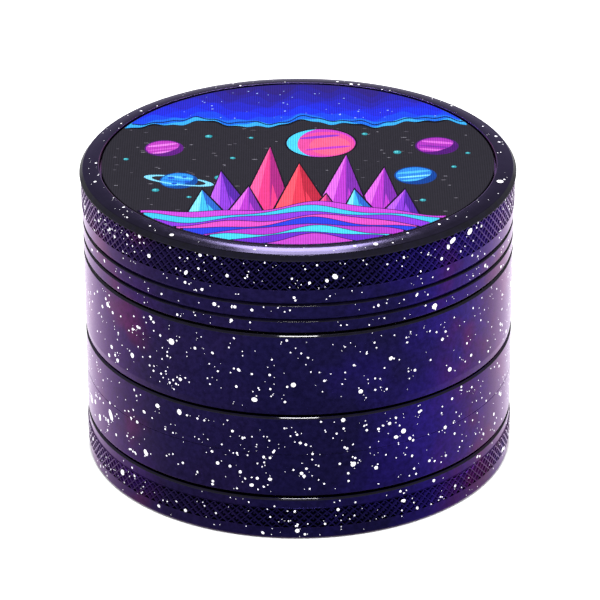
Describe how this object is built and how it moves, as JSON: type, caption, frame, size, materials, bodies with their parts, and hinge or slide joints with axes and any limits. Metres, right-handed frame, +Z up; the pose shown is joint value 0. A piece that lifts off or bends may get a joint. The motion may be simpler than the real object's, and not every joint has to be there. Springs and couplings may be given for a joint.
{
  "type": "herb grinder",
  "caption": "Round hand-turned metal herb grinder with a knurled magnetic lid, a toothed grinding chamber, a screened storage chamber and a screw-on catcher.",
  "frame": {"origin": "centre of the underside, on the plane that the grinder stands on", "axes": "+Z up along the axis that every piece is turned about, from the catcher to the lid; -Y faces the viewer"},
  "size_m": [0.063, 0.063, 0.045],
  "materials": {
    "speckled_enamel": "gloss",
    "printed_sheet": "satin",
    "nickel_plate": "polished",
    "nylon": "satin",
    "stainless_wire": "satin",
    "bright_aluminium": "satin"
  },
  "bodies": {
    "catcher": {"catcher": "speckled_enamel"},
    "screen_ring": {"screen_ring": "bright_aluminium"},
    "storage": {"storage_chamber": "speckled_enamel", "screen_mesh": "stainless_wire"},
    "chamber_magnet": {"chamber_magnet": "nickel_plate"},
    "chamber": {"grinding_chamber": "speckled_enamel"},
    "slip_ring": {"slip_ring": "nylon"},
    "lid": {"lid": "speckled_enamel", "lid_magnet": "nickel_plate", "picture_disc": "printed_sheet"}
  },
  "joints": [
    {"name": "storage_rise", "type": "slide", "parent": "catcher", "child": "screen_ring", "axis": [0, 0, 1], "range_m": [0, 0.003]},
    {"name": "storage_unscrew", "type": "hinge", "parent": "screen_ring", "child": "storage", "pos_m": [0, 0, 0.0097], "axis": [0, 0, 1], "range_deg": [0, 540]},
    {"name": "chamber_rise", "type": "slide", "parent": "storage", "child": "chamber_magnet", "axis": [0, 0, 1], "range_m": [0, 0.004]},
    {"name": "chamber_unscrew", "type": "hinge", "parent": "chamber_magnet", "child": "chamber", "pos_m": [0, 0, 0.03375], "axis": [0, 0, 1], "range_deg": [0, 720]},
    {"name": "lid_lift", "type": "slide", "parent": "chamber", "child": "slip_ring", "axis": [0, 0, 1], "range_m": [0, 0.03]},
    {"name": "lid_turn", "type": "hinge", "parent": "slip_ring", "child": "lid", "pos_m": [0, 0, 0.03385], "axis": [0, 0, 1], "continuous": true}
  ],
  "couplings": [
    {"joint": "storage_rise", "follows": "storage_unscrew", "m_per_rad": 0.00031831},
    {"joint": "chamber_rise", "follows": "chamber_unscrew", "m_per_rad": 0.00031831}
  ]
}
